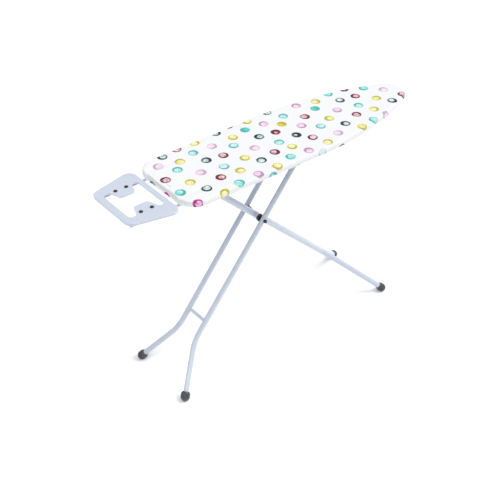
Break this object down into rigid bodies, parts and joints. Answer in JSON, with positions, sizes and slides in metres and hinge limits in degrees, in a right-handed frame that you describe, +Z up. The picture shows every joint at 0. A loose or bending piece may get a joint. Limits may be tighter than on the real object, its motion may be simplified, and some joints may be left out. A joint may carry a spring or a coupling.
{
  "type": "ironing board",
  "caption": "Folding ironing board on crossed tube legs, with a padded printed cover, a fixed iron rest at the blunt end and a toothed height lever.",
  "frame": {"origin": "on the floor, midway between the outer end of the iron rest and the tip of the nose, on the centre line", "axes": "+X from the iron rest to the nose, +Y across the board away from the lever grip, +Z up"},
  "size_m": [1.295, 0.328, 0.836],
  "materials": {
    "cover_cloth": "printed cotton, white ground with painted ring dots in many colours",
    "foam": "soft felt and foam underlay",
    "zinc_steel": "thin pale coating over pressed steel",
    "lacquered_steel": "pale blue-lavender gloss powder coat",
    "bright_steel": "zinc-plated steel",
    "dark_rubber": "matt dark rubber",
    "black_plastic": "moulded black plastic"
  },
  "bodies": {
    "board": {"cover": "cover_cloth", "cross_rail_blunt": "zinc_steel", "cross_rail_middle": "zinc_steel", "cross_rail_nose": "zinc_steel", "fixed_pivot_rod": "bright_steel", "foam_pad": "foam", "guide_rail_far": "zinc_steel", "guide_rail_near": "zinc_steel", "iron_rest_plate": "lacquered_steel", "lever_bracket": "zinc_steel", "lever_pin": "bright_steel", "lever_spring": "bright_steel", "pivot_bracket_far": "zinc_steel", "pivot_bracket_near": "zinc_steel", "pivot_rod_caps": "black_plastic", "rest_arm_far": "lacquered_steel", "rest_arm_near": "lacquered_steel", "rest_clamp_far": "black_plastic", "rest_clamp_near": "black_plastic", "rest_pad_inner_far": "black_plastic", "rest_pad_inner_near": "black_plastic", "rest_pad_outer_far": "black_plastic", "rest_pad_outer_near": "black_plastic", "rest_screws": "bright_steel", "rest_support_far": "lacquered_steel", "rest_support_near": "lacquered_steel", "rim_blunt": "zinc_steel", "rim_far": "zinc_steel", "rim_near": "zinc_steel", "rim_nose": "zinc_steel", "top_panel": "zinc_steel"},
    "inner_leg": {"branch_far": "lacquered_steel", "branch_near": "lacquered_steel", "cross_sleeve_far": "lacquered_steel", "cross_sleeve_near": "lacquered_steel", "inner_cross_tube": "lacquered_steel", "inner_foot_far": "dark_rubber", "inner_foot_near": "dark_rubber", "inner_tube": "lacquered_steel", "pivot_bush_far": "black_plastic", "pivot_bush_near": "black_plastic", "spacer_far": "black_plastic", "spacer_near": "black_plastic"},
    "outer_leg": {"bar_caps": "black_plastic", "cap_nut_far": "black_plastic", "cap_nut_near": "black_plastic", "cross_bolt": "bright_steel", "outer_brace": "lacquered_steel", "outer_foot_far": "dark_rubber", "outer_foot_near": "dark_rubber", "outer_tube_far": "lacquered_steel", "outer_tube_near": "lacquered_steel", "runner_far": "black_plastic", "runner_near": "black_plastic", "top_bar": "bright_steel", "tube_plug_far": "black_plastic", "tube_plug_near": "black_plastic"},
    "lever": {"height_lever": "zinc_steel", "lever_handle": "bright_steel", "lever_grip": "black_plastic"}
  },
  "joints": [
    {"name": "leg_fold", "type": "hinge", "parent": "board", "child": "inner_leg", "pos_m": [-0.30556, 0, 0.79], "axis": [0, -1, 0], "range_deg": [0, 40.84]},
    {"name": "leg_cross", "type": "hinge", "parent": "inner_leg", "child": "outer_leg", "pos_m": [-0.0635, 0, 0.5573], "axis": [0, -1, 0], "range_deg": [-89.1, 0]},
    {"name": "height_lever", "type": "hinge", "parent": "board", "child": "lever", "pos_m": [0.38, 0, 0.812], "axis": [0, -1, 0], "range_deg": [0, 1.9], "deforming": ["lever_spring"]}
  ],
  "couplings": [
    {"joint": "leg_cross", "follows": "leg_fold", "ratio": -2.18}
  ]
}
